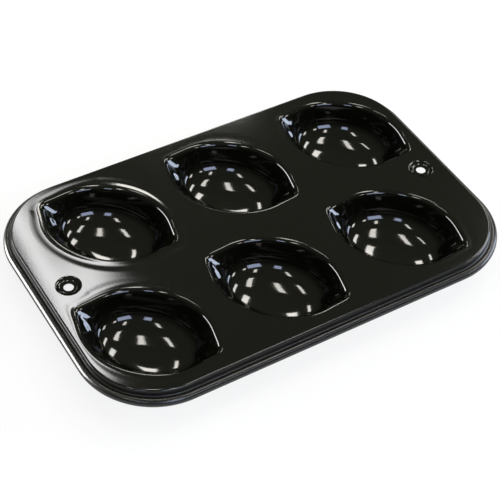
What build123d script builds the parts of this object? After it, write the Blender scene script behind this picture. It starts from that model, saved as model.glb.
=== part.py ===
from build123d import *
import os
from math import atan2, cos, degrees, exp, pi, radians, sin

# A six-cup lemon cake pan pressed from thin steel sheet.
# Millimetres, +Z up. The pan stands on the small flats under its six cups.
# X runs along the pan's long side, Y across it, and the origin is under the deck's centre.

# Sheet
sheet = 0.5               # thickness of the steel

# Pattern of the cups
columns = 3
column_pitch = 81.0       # along X
row_pitch = 82.6          # along Y
row_stagger = 18.0        # the back row stands this much further along +X
cup_turn = -49.0          # degrees, the lemons' long axis from +X

# Mouth of a cup, where its lip leaves the deck: an ellipse with a nose at each end
mouth_length = 76.8       # without the noses
mouth_width = 60.8
nose_reach = 4.1          # the nose's reach past the ellipse, at the deck
nose_width = 7.5          # half width at which the nose has faded to a third
nose_depth = 9.5          # depth at which the nose has faded out

# Section of a cup across its short axis
cup_depth = 23.0          # deck top down to the top face of the flat
lip_round = 3.2
wall_slope = 78.0         # degrees from level
foot_round = 15.0
dish_slope = 22.5         # degrees from level, where the foot's round meets the dish
flat_length = 12.0        # the flat that the cup stands on
flat_width = 8.0
end_fullness = 2.2        # 1 draws a cup's ends in evenly with depth, more keeps them full for longer

# Deck
end_margin = 3.7          # cup mouth to the outer face of the edge wall, along X
side_margin = 7.9         # the same along Y
deck_corner = 40.5        # plan radius of the edge wall's outer face
edge_round = 1.2          # outer radius from the deck into the edge wall

# Rolled rim
wire_diameter = 4.0
wire_clearance = 0.1      # all round the wire, inside the roll
rim_drop = 6.6            # deck top down to the wire's centre line
flare_round = 1.0         # mid-sheet radius where the wall turns out into the roll
roll_end = -170.0         # degrees, where the roll stops under the wall

# Hanging holes
hole_inset = 14.6         # hole's centre from the outer face of the end wall
hole_side = 7.75          # hole's centre from the pan's middle line
hole_diameter = 5.75
dimple_diameter = 15.0    # where the dimple leaves the deck
dimple_floor = 9.0        # diameter of the level ring round the hole
dimple_depth = 1.2

# Fineness of the curves
outline_points = 48
lip_steps = 4
wall_steps = 4
foot_steps = 8
dish_steps = 7

# Worked out from the sizes above
deck_top = cup_depth + sheet
half_mouth_x = mouth_length / 2
half_mouth_y = mouth_width / 2
flat_inset = (mouth_width - flat_width) / 2
end_extra = (mouth_length - flat_length) / 2 - flat_inset
roll_radius = wire_diameter / 2 + wire_clearance + sheet / 2
roll_offset = roll_radius - sheet / 2
flare_rise = 2 * (flare_round * roll_radius) ** 0.5


def nose(depth):
    """How far the noses stand past the ellipse at a depth below the deck."""
    share = min(depth / nose_depth, 1)
    return nose_reach * (1 - share ** 2) ** 2


def lemon_points(inset, depth, spread=0.0):
    """Points of a cup's outline in plan: inset from its mouth, and spread for the underside."""
    long_half = half_mouth_x - inset - end_extra * (inset / flat_inset) ** end_fullness + spread
    short_half = half_mouth_y - inset + spread
    points = []
    for step in range(outline_points):
        turn = 2 * pi * step / outline_points
        y = short_half * sin(turn)
        x = (long_half + nose(depth) * exp(-((y / nose_width) ** 2))) * cos(turn)
        points.append((x, y))
    return points


def lemon(inset, depth, drop=0.0, spread=0.0):
    """The closed outline of a cup at one station, lowered by drop for the underside."""
    z = deck_top - depth - drop
    points = [(x, y, z) for x, y in lemon_points(inset, depth, spread)]
    return Wire(Spline(*points, periodic=True))


def arc_stations(start, radius, first, last, steps):
    """Stations down a round whose slope goes from first to last, in radians, after its start."""
    inset, depth = start
    stations = []
    for step in range(1, steps + 1):
        slope = first + (last - first) * step / steps
        across = abs(sin(slope) - sin(first)) * radius
        down = abs(cos(slope) - cos(first)) * radius
        stations.append((inset + across, depth + down, slope))
    return stations


def cup_stations():
    """Inset from the mouth, depth and slope down a cup: lip round, wall, foot round and dish.

    The wall's length and the dish's radius are what makes the four meet the depth and the flat.
    """
    wall = radians(wall_slope)
    dish = radians(dish_slope)
    across = flat_inset - lip_round * sin(wall) - foot_round * (sin(wall) - sin(dish))
    down = cup_depth - lip_round * (1 - cos(wall)) - foot_round * (cos(dish) - cos(wall))
    share = sin(wall) * sin(dish) - cos(wall) * (1 - cos(dish))
    wall_length = (down * sin(dish) - across * (1 - cos(dish))) / share
    dish_round = (across * sin(wall) - down * cos(wall)) / share

    stations = [(0.0, 0.0, 0.0)]
    stations += arc_stations(stations[-1][:2], lip_round, 0.0, wall, lip_steps)
    inset, depth = stations[-1][:2]
    for step in range(1, wall_steps + 1):
        length = wall_length * step / wall_steps
        stations.append((inset + length * cos(wall), depth + length * sin(wall), wall))
    stations += arc_stations(stations[-1][:2], foot_round, wall, dish, foot_steps)
    stations += arc_stations(stations[-1][:2], dish_round, dish, 0.0, dish_steps)
    return stations


def skin(wires):
    """The side faces of a smooth loft through level outlines."""
    body = Solid.make_loft(wires)
    return [face for face in body.faces() if face.geom_type != GeomType.PLANE]


def make_cup():
    """One lemon cup with its lip: a closed sheet whose edge fills the deck's opening."""
    top = []
    under = []
    for inset, depth, slope in cup_stations():
        top.append(lemon(inset, depth))
        under.append(lemon(inset, depth, sheet * cos(slope), sheet * sin(slope)))
    edge = skin([top[0], under[0]])
    return Solid(Shell(skin(top) + skin(under) + edge + [Face(top[-1]), Face(under[-1])]))


def cup_opening():
    """A prism on the outline of the cup's mouth, right through the deck."""
    return Pos(0, 0, -2 * sheet) * extrude(Face(lemon(0, 0)), 4 * sheet, dir=(0, 0, 1))


def cup_places():
    """The name and place of each cup."""
    column_names = ["left", "middle", "right"]
    for side, row in ((1, "back"), (-1, "front")):
        for column in range(columns):
            x = (column - (columns - 1) / 2) * column_pitch + side * row_stagger / 2
            place = Pos(x, side * row_pitch / 2, 0) * Rot(0, 0, cup_turn)
            label = column_names[column] if columns == len(column_names) else str(column + 1)
            yield f"cup_{row}_{label}", place


def mouth_reach():
    """How far a turned cup mouth reaches from its centre along X and along Y."""
    turn = radians(cup_turn)
    mouth = lemon_points(0, 0)
    along_x = max(x * cos(turn) - y * sin(turn) for x, y in mouth)
    along_y = max(x * sin(turn) + y * cos(turn) for x, y in mouth)
    return along_x, along_y


# Deck size from the pattern and its margins
reach_x, reach_y = mouth_reach()
half_length = (columns - 1) / 2 * column_pitch + row_stagger / 2 + reach_x + end_margin
half_width = row_pitch / 2 + reach_y + side_margin


def edge_path():
    """The outer face of the edge wall in plan, at deck height, from the middle of the right end."""
    corner_x = half_length - deck_corner
    corner_y = half_width - deck_corner
    return Wire([
        Edge.make_line((half_length, 0, deck_top), (half_length, corner_y, deck_top)),
        CenterArc((corner_x, corner_y, deck_top), deck_corner, 0, 90),
        Edge.make_line((corner_x, half_width, deck_top), (-corner_x, half_width, deck_top)),
        CenterArc((-corner_x, corner_y, deck_top), deck_corner, 90, 90),
        Edge.make_line((-half_length, corner_y, deck_top), (-half_length, -corner_y, deck_top)),
        CenterArc((-corner_x, -corner_y, deck_top), deck_corner, 180, 90),
        Edge.make_line((-corner_x, -half_width, deck_top), (corner_x, -half_width, deck_top)),
        CenterArc((corner_x, -corner_y, deck_top), deck_corner, 270, 90),
        Edge.make_line((half_length, -corner_y, deck_top), (half_length, 0, deck_top)),
    ])


def swept(section):
    """A section drawn outward and upward from the wall's outer face, carried round the deck."""
    plane = Plane(origin=(half_length, 0, deck_top), x_dir=(1, 0, 0), z_dir=(0, -1, 0))
    return sweep(plane * section, path=edge_path())


def on_circle(centre, radius, angle):
    """The point of a circle at an angle in degrees."""
    return centre[0] + radius * cos(radians(angle)), centre[1] + radius * sin(radians(angle))


# The roll's and the flare's centres, out from the wall's outer face and up from the deck
roll_centre = (roll_offset, -rim_drop)
flare_centre = (flare_round - sheet / 2, flare_rise - rim_drop)
joint_angle = degrees(atan2(flare_centre[1] - roll_centre[1], flare_centre[0] - roll_centre[0]))


def edge_section():
    """The sheet from the deck round its edge, down the wall and through the flare."""
    bend = (-edge_round, -edge_round)
    foot = flare_centre[1]
    hollow = flare_round - sheet / 2
    outer = flare_round + sheet / 2
    turned = joint_angle - 180
    lines = [
        CenterArc(bend, edge_round, 0, 90),
        Line((0, -edge_round), (0, foot)),
        CenterArc(flare_centre, hollow, 180, turned + 180),
        Line(on_circle(flare_centre, hollow, turned), on_circle(flare_centre, outer, turned)),
        CenterArc(flare_centre, outer, 180, turned + 180),
        Line((-sheet, foot), (-sheet, -edge_round)),
        CenterArc(bend, edge_round - sheet, 0, 90),
        Line((-edge_round, -sheet), (-edge_round, 0)),
    ]
    return Face(Wire([line.edge() for line in lines]))


def roll_section():
    """The curled sheet round the wire, from the flare to its free edge under the wall."""
    sweep_angle = roll_end - joint_angle
    outside = roll_radius + sheet / 2
    inside = roll_radius - sheet / 2
    lines = [
        CenterArc(roll_centre, outside, joint_angle, sweep_angle),
        Line(on_circle(roll_centre, outside, roll_end), on_circle(roll_centre, inside, roll_end)),
        CenterArc(roll_centre, inside, joint_angle, sweep_angle),
        Line(on_circle(roll_centre, inside, joint_angle), on_circle(roll_centre, outside, joint_angle)),
    ]
    return Face(Wire([line.edge() for line in lines]))


def make_rolled_rim():
    """The curled edge of the sheet."""
    return swept(roll_section())


def make_rim_wire():
    """The closed wire inside the roll."""
    return swept(Pos(*roll_centre) * Circle(wire_diameter / 2))


def hole_places():
    """The two hanging holes, one at each end, opposite each other through the pan's centre."""
    x = half_length - hole_inset
    return {"left": Pos(-x, hole_side, 0), "right": Pos(x, -hole_side, 0)}


def make_deck():
    """The flat deck with its edge wall, cut for the cups and the dimples."""
    plate = RectangleRounded(
        2 * (half_length - edge_round), 2 * (half_width - edge_round), deck_corner - edge_round
    )
    deck = Pos(0, 0, deck_top - sheet) * extrude(plate, sheet) + swept(edge_section())
    for _, place in cup_places():
        deck -= place * cup_opening()
    for place in hole_places().values():
        deck -= place * Pos(0, 0, deck_top) * Cylinder(dimple_diameter / 2, 4 * sheet)
    return deck


def make_dimple():
    """A shallow dimple with a level ring round the hanging hole."""
    rim = dimple_diameter / 2
    ring = dimple_floor / 2
    hole = hole_diameter / 2
    low = -dimple_depth
    lines = [
        Spline((rim, 0), (ring, low), tangents=[(-1, 0), (-1, 0)]),
        Line((ring, low), (hole, low)),
        Line((hole, low), (hole, low - sheet)),
        Line((hole, low - sheet), (ring, low - sheet)),
        Spline((ring, low - sheet), (rim, -sheet), tangents=[(1, 0), (1, 0)]),
        Line((rim, -sheet), (rim, 0)),
    ]
    section = Face(Wire([line.edge() for line in lines]))
    return Pos(0, 0, deck_top) * revolve(Plane.XZ * section, Axis.Z, 360)


def write(name, shape):
    """Write one named node."""
    export_step(shape, f"parts/{name}.step")


os.makedirs("parts", exist_ok=True)
write("deck", make_deck())
write("rolled_rim", make_rolled_rim())
write("rim_wire", make_rim_wire())
cup = make_cup()
for cup_name, cup_place in cup_places():
    write(cup_name, cup_place * cup)
dimple = make_dimple()
for end, hole_place in hole_places().items():
    write(f"hanging_dimple_{end}", hole_place * dimple)

print(f"deck {2 * half_length:.1f} x {2 * half_width:.1f}, top at {deck_top:.1f}")
print(f"over the roll {2 * (half_length + roll_offset + roll_radius + sheet / 2):.1f} long")
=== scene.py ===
# %% [markdown]
# # A black lemon cake pan
#
# The pan is one sheet of steel: a flat deck, six cups pressed into it in the shape of half lemons,
# and an edge wall that curls round a wire. A glossy black coating covers it, so almost all that the
# eye sees is reflection. The shape has to be smooth, and the lights matter as much as the material.
#
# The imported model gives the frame. Everything below is placed from it, in metres.

# %% Load the fixed frame
import math
import bpy
import numpy as np
from mathutils import Matrix, Vector
from mathutils.geometry import delaunay_2d_cdt


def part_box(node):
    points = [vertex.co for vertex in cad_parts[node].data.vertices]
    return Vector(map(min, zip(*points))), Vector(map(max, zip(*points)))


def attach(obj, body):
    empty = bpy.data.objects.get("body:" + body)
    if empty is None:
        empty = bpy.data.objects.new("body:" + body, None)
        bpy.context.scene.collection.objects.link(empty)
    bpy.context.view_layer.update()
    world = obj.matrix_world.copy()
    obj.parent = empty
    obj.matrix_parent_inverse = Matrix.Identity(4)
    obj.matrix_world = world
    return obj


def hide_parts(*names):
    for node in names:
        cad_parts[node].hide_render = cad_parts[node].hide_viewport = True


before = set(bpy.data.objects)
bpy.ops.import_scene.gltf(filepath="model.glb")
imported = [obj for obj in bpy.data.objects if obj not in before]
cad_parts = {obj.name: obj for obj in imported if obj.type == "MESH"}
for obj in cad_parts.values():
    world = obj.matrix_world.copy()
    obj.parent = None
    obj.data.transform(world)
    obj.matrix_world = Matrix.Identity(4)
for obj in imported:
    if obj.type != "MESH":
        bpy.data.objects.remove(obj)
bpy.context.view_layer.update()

# %% [markdown]
# ## Sizes
#
# The sizes that the frame's boxes can't give are named here, in millimetres, as a maker would write
# them. The rest is read from the frame: the deck's height, the cups' places and the hanging holes.

# %% Name the sizes
MM = 0.001
BODY = "root"

sheet = 0.5 * MM

# The cup: half axes of its mouth, its noses, and the section from the lip to the flat
half_mouth_x = 38.4 * MM
half_mouth_y = 30.4 * MM
nose_reach = 4.1 * MM
nose_width = 7.5 * MM
nose_depth = 9.5 * MM
cup_depth = 23.0 * MM
lip_round = 3.2 * MM
wall_slope = math.radians(78.0)
foot_round = 15.0 * MM
dish_slope = math.radians(22.5)
flat_half_x = 6.0 * MM
flat_half_y = 4.0 * MM
end_fullness = 2.2
cup_turn = math.radians(-49.0)

# Creases and chutes at the noses. The lean is sideways per depth
crease_height = 0.035 * MM
crease_spacing = 4.4 * MM
crease_spread = 11.0 * MM
crease_reach = 17.0 * MM
chute_reach = 2.6 * MM
chute_width = 3.0 * MM
chute_lean = -0.35
chute_top = 1.2 * MM
chute_foot = 22.0 * MM

# The edge: corner, bend, wire, drop to the wire's middle, flare, and the angle where the roll ends
deck_corner = 40.5 * MM
edge_round = 1.2 * MM
wire_radius = 2.0 * MM
wire_clearance = 0.1 * MM
rim_drop = 6.6 * MM
flare_round = 1.0 * MM
roll_end = math.radians(-170.0)
roll_radius = wire_radius + wire_clearance + sheet / 2

# The hanging holes in their dimples
hole_radius = 2.875 * MM
dimple_radius = 7.5 * MM
dimple_floor_radius = 4.5 * MM
dimple_depth = 1.2 * MM

# Places from the frame
cup_names = sorted(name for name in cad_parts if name.startswith("cup_"))
cup_centres = {name: (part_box(name)[0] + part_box(name)[1]) / 2 for name in cup_names}
dimple_names = sorted(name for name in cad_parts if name.startswith("hanging_dimple"))
dimple_centres = {name: (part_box(name)[0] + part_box(name)[1]) / 2 for name in dimple_names}
deck_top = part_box("deck")[1].z
half_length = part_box("rolled_rim")[1].x - 2 * roll_radius
half_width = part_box("rolled_rim")[1].y - 2 * roll_radius
print("deck top", round(deck_top, 5), "wall faces at", round(half_length, 5), round(half_width, 5))

# %% [markdown]
# ## Meshes from grids
#
# Every pressed surface here is a profile carried round a closed outline. That is a grid of points:
# one row for each profile point, one column for each point of the outline. A helper joins the rows
# into quads, and closes a row that shrinks to a point with a fan of triangles. Another one writes
# whole arrays into a mesh, which is much faster than adding one vertex at a time. A closed surface
# with a negative volume is inside out, so its faces are turned round first.

# %% Helpers that join rows into faces
def ring_quads(rows, columns, first=0):
    """Quads between rows of a grid whose columns close on themselves."""
    row = np.arange(rows - 1)[:, None] * columns
    column = np.arange(columns)[None, :]
    after = (column + 1) % columns
    corners = [row + column, row + after, row + columns + after, row + columns + column]
    return np.stack(corners, -1).reshape(-1, 4) + first


def closed_quads(rows, columns):
    """Quads of a grid whose rows close on themselves too, like a ring with a closed section."""
    return ring_quads(rows + 1, columns) % (rows * columns)


def fan(pole, ring, inward):
    """Triangles from a pole's index to a closed ring of indices."""
    after = np.roll(ring, -1)
    pair = (ring, after) if inward else (after, ring)
    return np.stack([pair[0], pair[1], np.full(len(ring), pole)], -1)


sharp_angle = math.radians(40)


def write_mesh(name, points, quads, triangles):
    """A smooth mesh object from arrays of points, quads and triangles, with sharp sheet edges."""
    quads = np.asarray(quads, dtype=np.int32).reshape(-1, 4)
    triangles = np.asarray(triangles, dtype=np.int32).reshape(-1, 3)
    mesh = bpy.data.meshes.new(name)
    mesh.vertices.add(len(points))
    mesh.vertices.foreach_set("co", np.asarray(points, dtype=np.float32).ravel())
    corners = np.concatenate([quads.ravel(), triangles.ravel()])
    sizes = np.concatenate([np.full(len(quads), 4), np.full(len(triangles), 3)])
    mesh.loops.add(len(corners))
    mesh.loops.foreach_set("vertex_index", corners)
    mesh.polygons.add(len(sizes))
    mesh.polygons.foreach_set("loop_start", np.concatenate([[0], np.cumsum(sizes)[:-1]]))
    mesh.update(calc_edges=True)
    mesh.validate()
    mesh.polygons.foreach_set("use_smooth", np.ones(len(mesh.polygons), dtype=bool))
    mesh.set_sharp_from_angle(angle=sharp_angle)
    piece = bpy.data.objects.new(name, mesh)
    bpy.context.scene.collection.objects.link(piece)
    return piece


def turned_outward(points, quads, triangles):
    """The faces, turned round if the closed surface has a negative volume."""
    halves = [quads[:, [0, 1, 2]], quads[:, [0, 2, 3]], triangles]
    corners = points[np.concatenate([np.asarray(h).reshape(-1, 3) for h in halves])]
    volume = np.einsum("ij,ij->", corners[:, 0], np.cross(corners[:, 1], corners[:, 2])) / 6
    if volume < 0:
        return quads[:, ::-1], triangles[:, ::-1], -volume
    return quads, triangles, volume


no_triangles = np.zeros((0, 3), int)


def make_sheet(name, points, quads, triangles=no_triangles):
    """The mesh object of a closed piece of sheet, with its faces turned outward."""
    quads, triangles, volume = turned_outward(points, quads, triangles)
    piece = write_mesh(name + "_sheet", points, quads, triangles)
    print(piece.name, len(quads) * 2 + len(triangles), "triangles,", round(volume / MM ** 3), "mm3")
    return piece


# %% [markdown]
# ## The shape of a lemon cup
#
# Seen from above, a cup's mouth is an ellipse with a small nose at each end. Across its short axis,
# the section is a lip that rolls over from the deck, a short steep wall, a wide round at the foot and
# a shallow dish. Both come from formulas, so the surface has no flat spots or ripples that a glossy
# coating would show. The underside is the same surface moved by the sheet's thickness.

# %% The cup's section
lip_steps, wall_steps, foot_steps, dish_steps = 26, 8, 22, 18


def arc_section(start, radius, first, last, steps):
    """Inset, depth and slope along a round whose slope goes evenly from first to last."""
    slope = np.linspace(first, last, steps + 1)[1:]
    inset = start[0] + np.abs(np.sin(slope) - math.sin(first)) * radius
    depth = start[1] + np.abs(np.cos(slope) - math.cos(first)) * radius
    return np.column_stack([inset, depth, slope])


def cup_section():
    """Rows of inset, depth and slope from the deck to the flat: lip, wall, foot round and dish.

    Two unknowns, the wall's length and the dish's radius, follow from two sums: the insets add up
    to the flat's edge, and the depths add up to the cup's depth. A first row at a slope of only 0.6
    degrees keeps the shading level where the lip leaves the deck.
    """
    wall, dish = wall_slope, dish_slope
    across = half_mouth_y - flat_half_y - lip_round * math.sin(wall)
    across -= foot_round * (math.sin(wall) - math.sin(dish))
    down = cup_depth - lip_round * (1 - math.cos(wall))
    down -= foot_round * (math.cos(dish) - math.cos(wall))
    share = math.sin(wall) * math.sin(dish) - math.cos(wall) * (1 - math.cos(dish))
    wall_length = (down * math.sin(dish) - across * (1 - math.cos(dish))) / share
    dish_round = (across * math.sin(wall) - down * math.cos(wall)) / share

    start = (0.0, 0.0)
    first_tilt = math.radians(0.6)
    lip = arc_section(start, lip_round, 0.0, wall, lip_steps)
    rows = [np.array([[*start, 0.0]]), arc_section(start, lip_round, 0.0, first_tilt, 1), lip]
    length = np.linspace(0, wall_length, wall_steps + 1)[1:]
    inset = lip[-1, 0] + length * math.cos(wall)
    depth = lip[-1, 1] + length * math.sin(wall)
    rows.append(np.column_stack([inset, depth, np.full(len(length), wall)]))
    rows.append(arc_section(rows[-1][-1], foot_round, wall, dish, foot_steps))
    rows.append(arc_section(rows[-1][-1], dish_round, dish, 0.0, dish_steps))
    print("cup wall", round(wall_length / MM, 2), "mm, dish radius", round(dish_round / MM, 2), "mm")
    return np.vstack(rows)


cup_rows = cup_section()
print(len(cup_rows), "rows from the deck to the flat")

# %% [markdown]
# ## Noses, creases and chutes
#
# Steel that is drawn into a nose keeps traces of it. Fine creases run down there, and below each nose
# the wall stands a little inward, as a chute. Both catch the windows as pale blue streaks. They are
# smooth changes of the cup's half length, so that one formula gives the outline of every row.

# %% The lemon outline
def nose_creases(y, depth, turn):
    """Fine wrinkles that the drawn steel keeps at the noses, as a change of the cup's half length.

    Two waves across the nose, (sin(k y) + 0.6 sin(1.7 k y + 1)) * exp(-(y / spread)^2), which start
    faint at the lip, are full 3 mm down and fade to nothing at crease_reach. The right nose has
    a quarter of them: 0.625 - 0.375 cos(turn) is 1 at the left nose and 0.25 at the right one.
    """
    full_depth = 3 * MM
    wave = 2 * math.pi / crease_spacing * y
    across = (np.sin(wave) + 0.6 * np.sin(1.7 * wave + 1)) * np.exp(-(y / crease_spread) ** 2)
    fade = (1 - np.minimum(depth / crease_reach, 1) ** 2) ** 2
    fade = fade * (0.4 + 0.6 * np.minimum(depth / full_depth, 1))
    return crease_height * across * fade * (0.625 - 0.375 * np.cos(turn))


def nose_chute(y, depth, turn):
    """How far the wall under a nose stands inward, so that the nose runs down to the foot.

    reach * exp(-(across / width)^2) * sin(pi * share)^2, with share going from the chute's top to its
    foot. Its middle leans sideways as it goes down, and the other nose has it turned half round.
    """
    across = y * np.sign(-np.cos(turn)) - chute_lean * depth
    share = np.clip((depth - chute_top) / (chute_foot - chute_top), 0, 1)
    return chute_reach * np.exp(-(across / chute_width) ** 2) * np.sin(math.pi * share) ** 2


def lemon_outline(inset, depth, turn, spread=0.0):
    """Plan points of a cup: an ellipse drawn in by the inset, plus noses that fade with depth.

    x = (a + nose * exp(-(y / width)^2)) * cos(turn) and y = b * sin(turn), then turned on the deck.
    The half axes a and b shrink with the inset, so that the mouth's ellipse ends in the flat's.
    Creases and chutes change a as well. The spread widens both by the sheet, for the underside.
    """
    flat_inset = half_mouth_y - flat_half_y
    end_extra = half_mouth_x - flat_half_x - flat_inset
    long_half = half_mouth_x - inset - end_extra * (np.abs(inset) / flat_inset) ** end_fullness
    share = np.minimum(depth / nose_depth, 1)
    nose = nose_reach * (1 - share ** 2) ** 2
    y = (half_mouth_y - inset + spread) * np.sin(turn)
    long_half = long_half + nose_creases(y, depth, turn) - nose_chute(y, depth, turn)
    x = (long_half + spread + nose * np.exp(-(y / nose_width) ** 2)) * np.cos(turn)
    along, side = math.cos(cup_turn), math.sin(cup_turn)
    return np.stack([x * along - y * side, x * side + y * along], -1)


tips = lemon_outline(0.0, 0.0, np.array([0.0, math.pi]))
print("a mouth is", round(np.linalg.norm(tips[1] - tips[0]) / MM, 1), "mm from tip to tip")

# %% [markdown]
# ## The six cups
#
# A press draws all six cups from the one sheet. Here each is a sheet of its own that meets the deck at
# the mouth, so that a cup can be named, changed or left out. Its grid starts at the middle of the
# flat, runs up the inside, turns over the thin edge at the mouth and comes back down the outside.

# %% Make the six cups
flat_rings = 4


def cup_columns(count=360):
    """Turns round a cup, closer together at the noses where the outline bends most."""
    crowding = 0.22
    even = np.arange(count) / count * 2 * math.pi
    return even - crowding * np.sin(2 * even)


def cup_skin(section, turn, underside):
    """Points of one side of a cup's sheet, row by row from the lip to the middle of the flat."""
    inset, depth, slope = section[:, :1], section[:, 1:2], section[:, 2:]
    drop = sheet * np.cos(slope) if underside else 0.0
    spread = sheet * np.sin(slope) if underside else 0.0
    plan = lemon_outline(inset, depth, turn[None, :], spread)
    height = np.broadcast_to(deck_top - depth - drop, plan.shape[:2])
    walls = np.dstack([plan, height])
    shrink = np.linspace(1, 0, flat_rings + 2)[1:-1, None, None]
    middle = walls[-1:] * np.array([1, 1, 0]) * shrink + np.array([0, 0, height[-1, 0]])
    return np.concatenate([walls, middle])


def make_cup(name):
    """One cup as a closed sheet: its top face, its edge in the deck, and its underside."""
    turn = cup_columns()
    top = cup_skin(cup_rows, turn, False)
    under = cup_skin(cup_rows, turn, True)
    rows = np.concatenate([top[::-1], under])
    count = len(turn)
    grid = rows.reshape(-1, 3)
    poles = np.array([[0, 0, deck_top - cup_depth], [0, 0, deck_top - cup_depth - sheet]])
    points = np.concatenate([grid, poles]) + np.array([*cup_centres[name].xy, 0])
    quads = ring_quads(len(rows), count)
    first_ring = np.arange(count)
    last_ring = first_ring + (len(rows) - 1) * count
    triangles = np.concatenate([
        fan(len(grid), first_ring, False),
        fan(len(grid) + 1, last_ring, True),
    ])
    return make_sheet(name, points, quads, triangles)


cups = {name: make_cup(name) for name in cup_names}

# %% [markdown]
# ## The edge: round, wall, flare and roll
#
# The deck bends down into a low wall, turns out through a small flare and curls round the wire. In
# section these are arcs and lines that run into each other. They are carried round a rounded
# rectangle. A point of that path is a corner's centre plus a direction, so a profile point further
# out just uses a longer radius.

# %% The path round the deck
def edge_path(corner_steps=40, straight_step=5 * MM):
    """Corner centres and outward directions for points round the deck, counter-clockwise."""
    corner_x, corner_y = half_length - deck_corner, half_width - deck_corner
    corners = np.array([[1, 1], [-1, 1], [-1, -1], [1, -1]]) * [corner_x, corner_y]
    centres, angles = [], []
    for index, corner in enumerate(corners):
        turn = np.linspace(0, math.pi / 2, corner_steps + 1) + index * math.pi / 2
        centres.append(np.tile(corner, (len(turn), 1)))
        angles.append(turn)
        beyond = corners[(index + 1) % 4]
        steps = max(2, round(np.linalg.norm(beyond - corner) / straight_step))
        share = np.linspace(0, 1, steps + 1)[1:-1, None]
        centres.append(corner * (1 - share) + beyond * share)
        angles.append(np.full(steps - 1, turn[-1]))
    angle = np.concatenate(angles)
    return np.concatenate(centres), np.column_stack([np.cos(angle), np.sin(angle)])


path_centres, path_directions = edge_path()
print(len(path_centres), "points round the deck")


def around_deck(profile):
    """Rows of points: each profile point, out from the wall's face and up, carried round the deck."""
    out, up = profile[:, 0, None, None], profile[:, 1, None]
    plan = path_centres[None] + (deck_corner + out) * path_directions[None]
    height = np.broadcast_to(deck_top + up, plan.shape[:2])
    return np.dstack([plan, height])


def arc(centre, radius, first, last, steps):
    """Points along an arc, both ends included, angles in radians."""
    angle = np.linspace(first, last, steps + 1)
    return np.column_stack([centre[0] + radius * np.cos(angle), centre[1] + radius * np.sin(angle)])


# %% [markdown]
# ## The rolled edge
#
# A wire in the roll keeps a thin pan from bending. The sheet leaves the wall through a small flare and
# runs round the wire in an arc with a little clearance. In section, flare and roll are circles that
# touch, so the angle at which they meet follows from their centres. The free edge comes round under
# the wire and ends at its inner side.

# %% The sheet's section at the edge
roll_centre = (roll_radius - sheet / 2, -rim_drop)
flare_rise = 2 * math.sqrt(flare_round * roll_radius)
flare_centre = (flare_round - sheet / 2, flare_rise - rim_drop)
joint_angle = math.atan2(flare_centre[1] - roll_centre[1], flare_centre[0] - roll_centre[0])
quarter = math.pi / 2
bend_steps, flare_steps, roll_steps = 24, 16, 72
print("flare and roll meet at", round(math.degrees(joint_angle), 1), "degrees")


def edge_side(offset):
    """One face of the sheet, offset inward from its outer face, from the deck to the flare's end."""
    flare_radius = flare_round - sheet / 2 + offset
    bend = arc((-edge_round, -edge_round), edge_round - offset, quarter, 0, bend_steps)
    flare = arc(flare_centre, flare_radius, math.pi, joint_angle + math.pi, flare_steps)
    return np.concatenate([bend, flare])


def roll_profile():
    """The curled sheet's closed section: outside from the flare to the free edge, then inside."""
    outside = arc(roll_centre, roll_radius + sheet / 2, joint_angle, roll_end, roll_steps)
    inside = arc(roll_centre, roll_radius - sheet / 2, roll_end, joint_angle, roll_steps)
    return np.concatenate([outside, inside])


def make_rolled_rim():
    """The roll, carried round the deck and closed on itself."""
    rows = around_deck(roll_profile())
    return make_sheet("rolled_rim", rows.reshape(-1, 3), closed_quads(*rows.shape[:2]))


rolled_rim = make_rolled_rim()

# %% [markdown]
# ## The deck
#
# The deck is flat, so its inside is filled with triangles between outlines: six lemons, two circles
# and the edge. Close to each cup the sheet isn't quite flat, because pressing drags it in. A few
# rings of points follow each opening, so that this faint hollow can be part of the shape. It is
# deeper at the two left cups, where the light that lies on the deck shows it.

# %% The draw-in round an opening
draw_in_depth = 0.025 * MM
left_draw_in_depth = {"cup_back_left": 0.15 * MM, "cup_front_left": 0.12 * MM}
draw_in_width = 8.0 * MM
dimple_apron_width = 0.5 * MM
dimple_steps = 96
dimple_turn = np.arange(dimple_steps) / dimple_steps * 2 * math.pi

# How much of the room to the edge, to the dimples and to the other cups a hollow may take
edge_share, dimple_share, cup_share = 0.75, 0.9, 0.45
apron_shares = np.array([0, 0.02, 0.06, 0.12, 0.2, 0.3, 0.4, 0.5, 0.6, 0.7, 0.8, 0.88, 0.94, 1.0])
print(len(apron_shares), "rings round each cup, up to", round(draw_in_width / MM, 1), "mm out")


def room_to_edge(plan):
    """Distance from plan points to where the flat deck starts to bend: a rounded rectangle."""
    corner = deck_corner - edge_round
    beyond = np.abs(plan) - [half_length - deck_corner, half_width - deck_corner]
    outside = np.hypot(*np.moveaxis(np.maximum(beyond, 0), -1, 0))
    inside = np.minimum(beyond.max(-1), 0)
    return corner - outside - inside


def room_to_dimples(plan):
    """Distance from plan points to just outside the nearest dimple's apron."""
    margin = 0.1 * MM
    gaps = [np.linalg.norm(plan - np.array(c.xy), axis=-1) for c in dimple_centres.values()]
    return np.min(gaps, axis=0) - dimple_radius - dimple_apron_width - margin


def room_to_cups(plan, name):
    """Distance from plan points to the nearest mouth of another cup."""
    nothing = np.zeros((1, 1))
    mouth = lemon_outline(nothing, nothing, cup_columns(120)[None, :])[0]
    others = [mouth + np.array(cup_centres[other].xy) for other in cup_names if other != name]
    gaps = plan.reshape(-1, 1, 2) - np.concatenate(others)[None]
    return np.linalg.norm(gaps, axis=-1).min(1).reshape(plan.shape[:-1])


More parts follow.
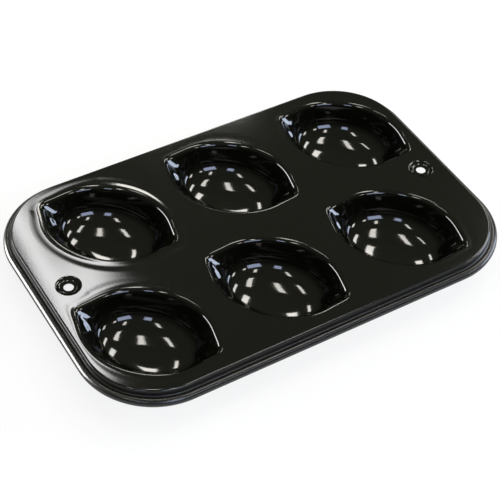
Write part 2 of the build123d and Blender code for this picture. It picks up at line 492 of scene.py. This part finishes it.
def cup_apron(name):
    """Rings of deck points round a cup's mouth, from the mouth outward, with a faint hollow.

    The depth under the flat is the draw-in depth * sin(pi * share^0.7)^2, deepest near the mouth.
    """
    turn = cup_columns()[None, :]
    centre = np.array(cup_centres[name].xy)
    share = apron_shares[:, None]
    nothing = np.zeros_like(share)
    mouth = lemon_outline(nothing[:1], nothing[:1], turn) + centre
    width = np.minimum(draw_in_width, edge_share * room_to_edge(mouth))
    width = np.minimum(width, dimple_share * room_to_dimples(mouth))
    width = np.minimum(width, cup_share * room_to_cups(mouth, name))
    plan = lemon_outline(nothing, nothing, turn, share * width) + centre
    hollow = np.sin(math.pi * share ** 0.7) ** 2
    deepest = left_draw_in_depth.get(name, draw_in_depth)
    height = deck_top - deepest * (width / draw_in_width) * hollow
    return np.dstack([plan, np.broadcast_to(height, plan.shape[:2])])


def dimple_apron(name):
    """Rings of deck points round a dimple."""
    radius = dimple_radius + dimple_apron_width * np.linspace(0, 1, 3)[:, None]
    plan = np.dstack([radius * np.cos(dimple_turn), radius * np.sin(dimple_turn)])
    height = np.full(plan.shape[:2], deck_top)
    return np.dstack([plan + np.array(dimple_centres[name].xy), height])


# %% [markdown]
# ## Filling the deck
#
# Between the openings nothing bends, so large triangles will do. A constrained triangulation keeps
# the sides of every given outline. It also fills the openings, so a triangle is kept only if its
# middle lies inside the edge and outside all openings. Top and underside use the same triangles.

# %% Fill the flat between the outlines
def inside_outline(points, outline):
    """Which points lie inside a closed outline, by counting the sides to their right."""
    x, y = points[:, 0, None], points[:, 1, None]
    x0, y0 = outline[:, 0], outline[:, 1]
    x1, y1 = np.roll(x0, -1), np.roll(y0, -1)
    spans = (y0 > y) != (y1 > y)
    cross = x0 + (y - y0) * (x1 - x0) / np.where(y1 == y0, 1, y1 - y0)
    return (spans & (x < cross)).sum(1) % 2 == 1


def fill_flat(outer, holes):
    """Triangles between an outer outline and holes. Points: the outer one's, then each hole's."""
    snap = 1e-7
    outlines = [outer, *holes]
    plan = np.concatenate(outlines)
    edges, first = [], 0
    for outline in outlines:
        index = np.arange(len(outline)) + first
        edges.append(np.column_stack([index, np.roll(index, -1)]))
        first += len(outline)
    found = delaunay_2d_cdt(plan.tolist(), np.concatenate(edges).tolist(), [], 0, snap)
    assert len(found[0]) == len(plan), "an outline crosses another"
    order = np.array(found[3])[:, 0]
    triangles = order[np.array(found[2])]
    middle = plan[triangles].mean(1)
    keep = inside_outline(middle, outer)
    for hole in holes:
        keep &= ~inside_outline(middle, hole)
    triangles = triangles[keep]
    a, b, c = (plan[triangles[:, i]] for i in range(3))
    area = (b[:, 0] - a[:, 0]) * (c[:, 1] - a[:, 1]) - (b[:, 1] - a[:, 1]) * (c[:, 0] - a[:, 0])
    triangles[area < 0] = triangles[area < 0][:, ::-1]
    return triangles


def make_deck():
    """The deck as a closed sheet: flat top and underside, aprons, openings' edges and edge wall."""
    aprons = [cup_apron(name) for name in cup_names] + [dimple_apron(name) for name in dimple_names]
    edge = np.concatenate([edge_side(0.0), edge_side(sheet)[::-1]])
    edge_rows = around_deck(edge)
    plate_top = edge_rows[0]
    count = len(path_centres)

    points, quads = [edge_rows.reshape(-1, 3)], [ring_quads(len(edge_rows), count)]
    total = len(edge_rows) * count
    inner_rings_top, inner_rings_under = [], []
    for apron in aprons:
        rows = np.concatenate([apron[::-1], apron - np.array([0, 0, sheet])])
        columns = apron.shape[1]
        points.append(rows.reshape(-1, 3))
        quads.append(ring_quads(len(rows), columns, total)[:, ::-1])
        inner_rings_top.append(np.arange(columns) + total)
        inner_rings_under.append(np.arange(columns) + total + (len(rows) - 1) * columns)
        total += len(rows) * columns
    fill = fill_flat(plate_top[:, :2], [apron[-1][:, :2] for apron in aprons])
    top_index = np.concatenate([np.arange(count), *inner_rings_top])
    under_index = np.concatenate([np.arange(count) + (len(edge_rows) - 1) * count, *inner_rings_under])
    triangles = np.concatenate([top_index[fill], under_index[fill][:, ::-1]])
    return make_sheet("deck", np.concatenate(points), np.concatenate(quads), triangles)


deck = make_deck()

# %% [markdown]
# ## The hanging holes
#
# Each hole sits in a shallow round dimple. The section is a soft S from the deck down to a level ring,
# and it is turned about the hole's axis.

# %% Make the two dimples
slope_steps, ring_steps = 24, 4


def dimple_side():
    """Radius and height from the deck to the hole: a cosine S, then the level ring."""
    share = np.linspace(0, 1, slope_steps + 1)
    slope_radius = dimple_radius + (dimple_floor_radius - dimple_radius) * share
    slope_height = -dimple_depth * (1 - np.cos(math.pi * share)) / 2
    ring_radius = np.linspace(dimple_floor_radius, hole_radius, ring_steps + 1)[1:]
    return np.column_stack([
        np.concatenate([slope_radius, ring_radius]),
        np.concatenate([slope_height, np.full(len(ring_radius), -dimple_depth)]),
    ])


def make_dimple(name):
    """A dimple as a closed sheet round its hole."""
    side = dimple_side()
    profile = np.concatenate([side, side[::-1] - np.array([0, sheet])])
    radius = profile[:, :1]
    height = np.broadcast_to(deck_top + profile[:, 1:], (len(profile), len(dimple_turn)))
    rows = np.dstack([radius * np.cos(dimple_turn), radius * np.sin(dimple_turn), height])
    points = rows.reshape(-1, 3) + np.array([*dimple_centres[name].xy, 0])
    return make_sheet(name, points, closed_quads(*rows.shape[:2]))


dimples = {name: make_dimple(name) for name in dimple_names}

# %% [markdown]
# ## Materials
#
# The coating is a thin black film: almost no colour of its own, and a clear gloss that is only
# slightly broken by the fine pebble of a sprayed film. Over the bend, the wall and the roll it is
# duller, so that the edge shows two soft bands of light.
#
# A small class lets shader maths be written as expressions. Each operator adds the node that does
# the sum.

# %% Write shader maths as expressions
class Sock:
    """A node socket that can be added, multiplied and so on, in expressions."""

    def __init__(self, tree, socket):
        self.tree, self.socket = tree, socket

    def sum_with(self, operation, other, swapped=False):
        """A Math node that joins this socket with a number or another socket."""
        pair = (other, self) if swapped else (self, other)
        return node(self.tree, "ShaderNodeMath", {"operation": operation}, {0: pair[0], 1: pair[1]})

    def __add__(self, other):
        return self.sum_with("ADD", other)

    def __radd__(self, other):
        return self.sum_with("ADD", other, True)

    def __sub__(self, other):
        return self.sum_with("SUBTRACT", other)

    def __rsub__(self, other):
        return self.sum_with("SUBTRACT", other, True)

    def __mul__(self, other):
        return self.sum_with("MULTIPLY", other)

    def __rmul__(self, other):
        return self.sum_with("MULTIPLY", other, True)


def node(tree, kind, settings, values, output=0):
    """Adds a node, sets it up, fills its sockets with numbers or links, and gives an output."""
    made = tree.nodes.new(kind)
    for key, value in settings.items():
        setattr(made, key, value)
    for key, value in values.items():
        if isinstance(value, Sock):
            tree.links.new(value.socket, made.inputs[key])
        else:
            made.inputs[key].default_value = value
    return Sock(tree, made.outputs[output])


def ramp(tree, value, first, last, low, high):
    """A smooth step from low to high while the value goes from first to last."""
    return node(tree, "ShaderNodeMapRange", {"interpolation_type": "SMOOTHSTEP"}, {
        "Value": value, "From Min": first, "From Max": last, "To Min": low, "To Max": high,
    })


def new_material(name):
    """An empty material, its tree and its output node."""
    material = bpy.data.materials.new(name)
    material.use_nodes = True
    tree = material.node_tree
    tree.nodes.clear()
    return material, tree, tree.nodes.new("ShaderNodeOutputMaterial")


# %% [markdown]
# ## The black coating
#
# Sprayed films dry with a very fine pebble and with clouds that differ a little in gloss. Both come
# from noise in the object's own coordinates. The clouds change the roughness. The pebble only tilts the
# shading, since it is far too fine for the mesh. Three materials share the recipe: they differ in how
# dull the film gets below the level of the deck.

# %% Mix the black coating
film_colour = (0.0025, 0.0027, 0.0016, 1)
film_roughness = 0.055
cloud_roughness = 0.03
deck_edge_roughness = 0.28
roll_roughness = 0.18
pebble_scale = 900.0
pebble_strength = 0.03
pebble_height = 0.2 * MM
cloud_scale = 60.0
dull_from, dull_to = 0.1 * MM, 0.9 * MM


def black_coating(name, edge_roughness):
    """Sprayed black film: near-black colour, clear gloss, a fine pebble and faint cloudiness.

    roughness = film + cloud share * noise + edge_roughness * a smooth step from 0 at 0.1 mm to 1 at
    0.9 mm below the deck.
    """
    material, tree, output = new_material(name)
    place = node(tree, "ShaderNodeTexCoord", {}, {}, "Object")
    pebble = node(tree, "ShaderNodeTexNoise", {}, {
        "Vector": place, "Scale": pebble_scale, "Detail": 2.0,
    })
    cloud = node(tree, "ShaderNodeTexNoise", {}, {
        "Vector": place, "Scale": cloud_scale, "Detail": 3.0,
    })
    height = node(tree, "ShaderNodeSeparateXYZ", {}, {"Vector": place}, "Z")
    below = ramp(tree, height, deck_top - dull_from, deck_top - dull_to, 0.0, 1.0)
    roughness = film_roughness + cloud_roughness * cloud + edge_roughness * below
    bump = node(tree, "ShaderNodeBump", {}, {
        "Height": pebble, "Strength": pebble_strength, "Distance": pebble_height,
    })
    shader = node(tree, "ShaderNodeBsdfPrincipled", {}, {
        "Base Color": film_colour,
        "Roughness": roughness,
        "IOR": 1.5,
        "Normal": bump,
    })
    tree.links.new(shader.socket, output.inputs["Surface"])
    return material


coating = black_coating("black_coating", 0.0)
for piece in [*cups.values(), *dimples.values()]:
    piece.data.materials.append(coating)
deck.data.materials.append(black_coating("black_coating_edge", deck_edge_roughness))
rolled_rim.data.materials.append(black_coating("black_coating_roll", roll_roughness))
print("coating on", len([deck, rolled_rim, *cups, *dimples]), "pieces")

# %% [markdown]
# ## The hidden wire
#
# The wire lies inside the roll, where no view reaches it. It keeps the frame's own shape and only gets
# a plain drawn-steel finish, so that someone who takes the roll away finds a wire and not a blank.

# %% Finish the wire in drawn steel
wire_colour = (0.55, 0.55, 0.56, 1)
wire_roughness, streak_roughness = 0.3, 0.15
streak_scale = 2500.0


def drawn_steel():
    """Plain grey wire with fine streaks."""
    material, tree, output = new_material("drawn_steel")
    place = node(tree, "ShaderNodeTexCoord", {}, {}, "Object")
    streak = node(tree, "ShaderNodeTexNoise", {}, {"Vector": place, "Scale": streak_scale})
    shader = node(tree, "ShaderNodeBsdfPrincipled", {}, {
        "Base Color": wire_colour,
        "Metallic": 1.0,
        "Roughness": wire_roughness + streak_roughness * streak,
    })
    tree.links.new(shader.socket, output.inputs["Surface"])
    return material


wire_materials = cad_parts["rim_wire"].data.materials
wire_materials.clear()
wire_materials.append(drawn_steel())
print("rim_wire is", wire_materials[0].name)

# %% [markdown]
# ## Tying the pieces to the frame
#
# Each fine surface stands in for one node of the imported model. It rides on the same body, and its slot
# names the coating, so that a later user can change the finish of the whole pan at once.

# %% Tie the pieces to the frame
for name, piece in {**cups, **dimples, "deck": deck, "rolled_rim": rolled_rim}.items():
    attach(piece, BODY)
    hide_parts(name)
print(len(cups) + len(dimples) + 2, "pieces ride on", BODY)

# %% [markdown]
# ## The floor
#
# The pan lies on a plain white floor. Enough light to show it white would turn the black film grey,
# so it is lit only a little and glows by itself where the camera looks at it. In reflections it glows
# much less, and as light on the pan not at all.

# %% The floor
def pale_floor():
    """A large plain white floor that glows for the camera and, more faintly, in reflections."""
    reach = 40.0
    camera_glow, mirror_glow = 0.84, 0.25
    corners = np.array([[-1, -1, 0], [1, -1, 0], [1, 1, 0], [-1, 1, 0]]) * reach
    floor = write_mesh("floor", corners, [[0, 1, 2, 3]], [])
    material, tree, output = new_material("pale_floor")
    path = tree.nodes.new("ShaderNodeLightPath")
    glossy = Sock(tree, path.outputs["Is Glossy Ray"])
    mirrored = glossy + Sock(tree, path.outputs["Is Transmission Ray"])
    seen = camera_glow * Sock(tree, path.outputs["Is Camera Ray"]) + mirror_glow * mirrored
    lit = node(tree, "ShaderNodeBsdfPrincipled", {}, {
        "Base Color": (0.88, 0.88, 0.88, 1),
        "Roughness": 0.9,
        "Specular IOR Level": 0.0,
    })
    glow = node(tree, "ShaderNodeEmission", {}, {"Color": (1, 1, 1, 1), "Strength": 1.0})
    mixed = node(tree, "ShaderNodeMixShader", {}, {0: seen, 1: lit, 2: glow})
    tree.links.new(mixed.socket, output.inputs["Surface"])
    floor.data.materials.append(material)
    return floor


floor = pale_floor()
print("floor", round(floor.dimensions.x), "m wide")

# %% [markdown]
# ## The ceiling lamps
#
# A black gloss surface shows little but its surroundings, so these are built as the photograph's
# reflections tell them. Long lamps hang over the pan, and each one shows as a small bright bar in
# every cup. A bar's place in the cup and its slant tell the lamp's direction and how it is turned.

# %% The lamps
ceiling = 3.0
lamp_radiance = 15.0
lamp_colour = (1.0, 0.97, 0.90)


def panel(name, centre, direction, length, width, radiance, colour, facing):
    """A glowing rectangle: its long side along direction, its front towards facing."""
    light = bpy.data.lights.new(name, "AREA")
    light.shape = "RECTANGLE"
    light.size, light.size_y = length, width
    light.energy = radiance * math.pi * length * width
    light.color = colour
    lamp = bpy.data.objects.new(name, light)
    bpy.context.scene.collection.objects.link(lamp)
    back = -(Vector(facing) - Vector(centre)).normalized()
    along = Vector(direction)
    along = (along - back * along.dot(back)).normalized()
    across = back.cross(along)
    turn = Matrix((along, across, back)).transposed()
    lamp.matrix_world = Matrix.Translation(centre) @ turn.to_4x4()
    lamp.visible_camera = False
    return lamp


# Each lamp on a ceiling one unit up: its centre's x and y, length, width and direction in degrees
ceiling_lamps = {
    "over": (0.11, 0.29, 0.34, 0.06, 60),
    "right": (0.36, 0.00, 0.40, 0.10, 57),
    "left": (-0.19, 0.38, 0.26, 0.06, 67),
    "far_right": (0.96, 0.70, 0.60, 0.14, 40),
    "side_right": (1.06, 0.16, 0.62, 0.19, 42),
    "far_left": (0.22, 1.17, 0.50, 0.08, 63),
    "far_middle": (0.68, 1.26, 0.42, 0.15, 62),
    "near_left": (-0.66, -0.26, 0.34, 0.08, 52),
    "near": (-0.02, -0.71, 0.32, 0.09, 67),
    "near_right": (0.39, -1.30, 0.28, 0.16, 83),
    "low_right": (1.35, -1.20, 0.55, 0.30, 97),
}
for name, (x, y, length, width, degrees) in ceiling_lamps.items():
    turn = math.radians(degrees)
    panel(
        "lamp_" + name, (x * ceiling, y * ceiling, ceiling + deck_top),
        (math.cos(turn), math.sin(turn), 0), length * ceiling, width * ceiling,
        lamp_radiance, lamp_colour, (x * ceiling, y * ceiling, 0),
    )
print(len(ceiling_lamps), "ceiling lamps")

# %% [markdown]
# ## Windows and cards
#
# Two windows behind the camera and one at the right give the bluish patches in the bowls and the
# streaks at the noses. A low white card at the left lights the lips and the roll. Two more panels
# help the edge but would draw lines inside the cups that the photograph doesn't have: a long faint
# window strip and a second card. Light linking solves that. The strip lights only the deck and the
# roll, and the second card only the roll.

# %% Windows and cards round the pan
window_colour = (0.62, 0.72, 1.0)
sky_colour = (0.70, 0.80, 1.0)
card_colour = (1, 1, 1)
panel_distance = 3
pan_middle = (0, 0, deck_top)


def toward(azimuth, elevation, distance):
    """A point at a distance from the pan, by its compass angle from +X and its height angle."""
    a, e = math.radians(azimuth), math.radians(elevation)
    flat = distance * math.cos(e)
    return (flat * math.cos(a), flat * math.sin(a), distance * math.sin(e) + deck_top)


def level_across(azimuth):
    """The level direction that is square to a compass angle."""
    return (-math.sin(math.radians(azimuth)), math.cos(math.radians(azimuth)), 0)


def light_only(lamp, pieces):
    """Lets a lamp light only the given pieces."""
    receivers = bpy.data.collections.new("lit_by_" + lamp.name)
    for piece in pieces:
        receivers.objects.link(piece)
    lamp.light_linking.receiver_collection = receivers


# Compass angle, height angle, length, width, radiance, colour, and the pieces lit, or None for all
panels = {
    "window_near": (-96, 33, 1.15, 0.75, 9, window_colour, None),
    "window_left": (-136, 38, 0.45, 0.65, 9, window_colour, None),
    "window_front": (-62, 40, 3.4, 0.9, 1.6, window_colour, [deck, rolled_rim]),
    "window_right": (-14, 13, 1.9, 1.1, 12, sky_colour, None),
    "card_low": (138, 7, 1.8, 0.6, 16, card_colour, None),
    "card_rim": (138, 16, 2.2, 1.6, 30, card_colour, [rolled_rim]),
}
for name, (azimuth, elevation, length, width, radiance, colour, lit) in panels.items():
    lamp = panel(
        name, toward(azimuth, elevation, panel_distance), level_across(azimuth),
        length, width, radiance, colour, pan_middle,
    )
    if lit:
        light_only(lamp, lit)
print(len(panels), "windows and cards")

# %% [markdown]
# ## The card over the left end
#
# In the photograph a soft white light lies on the deck's left end, brightest in a narrow strip, with
# soft leaning borders. It is a mirror image of something white over the pan's back. A third card hangs
# there and lights only the deck. Its own nodes shape the glow, because a plain rectangle would show
# hard straight borders.

# %% Hang and soften the card
card_long, card_wide = 0.34, 0.60
card_radiance = 17
card_place, card_target = (0.012, 0.5, 0.60), (-0.1, 0, deck_top)
card = panel(
    "card_left", card_place, (1, 0, 0), card_long, card_wide, card_radiance, card_colour, card_target
)

# Along the card from its middle, in metres: where the glow begins, dims and ends
glow_begins, glow_dims, glow_ends = (0.036, 0.050), (0.052, 0.072), (0.095, 0.137)
border_lean, border_bow = 0.1, 3.5

# Up the card: where the dimmed share changes, and its value on either side
dim_span, dim_below, dim_above = (0.0, 0.055), 0.85, 0.40


def soften_card(light):
    """Gives the card a bright left side that fades to the right, between soft leaning borders.

    Along the card and up it, in metres from its middle, left = along + lean * up and
    right = along + bow * up^2. The glow begins and dims by steps on left and ends by a step on right.
    It dims less on one half of the card than on the other.
    """
    light.use_nodes = True
    tree = light.node_tree
    tree.nodes.clear()
    place = node(tree, "ShaderNodeNewGeometry", {}, {}, "Parametric")
    along = card_long * (node(tree, "ShaderNodeSeparateXYZ", {}, {"Vector": place}, "X") - 0.5)
    up = card_wide * (node(tree, "ShaderNodeSeparateXYZ", {}, {"Vector": place}, "Y") - 0.5)
    left = along + border_lean * up
    right = along + border_bow * up * up
    dimmed = ramp(tree, up, *dim_span, dim_below, dim_above)
    strength = ramp(tree, left, *glow_begins, 0.0, 1.0) * ramp(tree, left, *glow_dims, 1.0, dimmed)
    strength = strength * ramp(tree, right, *glow_ends, 1.0, 0.0)
    glow = node(tree, "ShaderNodeEmission", {}, {"Color": (1, 1, 1, 1), "Strength": strength})
    end = tree.nodes.new("ShaderNodeOutputLight")
    tree.links.new(glow.socket, end.inputs["Surface"])


soften_card(card.data)
light_only(card, [deck])
print(card.name, "lights only", deck.name)

# %% [markdown]
# ## The room
#
# What no lamp fills is a dim room, a little brighter overhead, which gives the black its faint tone.
# Where the camera itself looks past the floor, it sees a white backdrop instead.

# %% Light the room
room_colour = (1, 1.02, 0.8, 1)
room_low, room_high = 0.05, 0.19
rise_from, rise_to = 0.25, 0.75

world = bpy.data.worlds.new("room")
bpy.context.scene.world = world
world.use_nodes = True
tree = world.node_tree
tree.nodes.clear()
direction = node(tree, "ShaderNodeTexCoord", {}, {}, "Generated")
height = node(tree, "ShaderNodeSeparateXYZ", {}, {"Vector": direction}, "Z")
rise = ramp(tree, height, rise_from, rise_to, room_low, room_high)
background = node(tree, "ShaderNodeBackground", {}, {"Color": room_colour, "Strength": rise})
backdrop = node(tree, "ShaderNodeBackground", {}, {"Color": (1, 1, 1, 1), "Strength": 1.0})
seen_by_camera = node(tree, "ShaderNodeLightPath", {}, {}, "Is Camera Ray")
both = node(tree, "ShaderNodeMixShader", {}, {0: seen_by_camera, 1: background, 2: backdrop})
world_output = tree.nodes.new("ShaderNodeOutputWorld")
tree.links.new(both.socket, world_output.inputs["Surface"])
print("room from", room_low, "to", room_high, "with a white backdrop for the camera")

# %% [markdown]
# ## The camera
#
# Its place, direction and focal length were worked out from the pan's outline, the cups' tips and the
# hanging holes in the photograph, so the render can be compared with it point by point.

# %% Place the camera
focal_pixels, image_pixels = 1390, 500
camera_place = Vector((-305.9 * MM, -475.1 * MM, 565.8 * MM + deck_top))
looking = Vector((0.3743, 0.5837, -0.7206))
right_hand = Vector((0.8601, -0.5089, 0.0346))
camera_data = bpy.data.cameras.new("camera")
camera_data.sensor_width = 36.0
camera_data.lens = camera_data.sensor_width * focal_pixels / image_pixels
camera = bpy.data.objects.new("camera", camera_data)
bpy.context.scene.collection.objects.link(camera)
backward = -looking.normalized()
upward = backward.cross(right_hand).normalized()
rightward = upward.cross(backward)
turn = Matrix((rightward, upward, backward)).transposed()
camera.matrix_world = Matrix.Translation(camera_place) @ turn.to_4x4()
bpy.context.scene.camera = camera
bpy.context.scene.view_settings.view_transform = "Standard"
print("lens", round(camera_data.lens, 2), "mm, camera at", [round(v, 3) for v in camera_place])
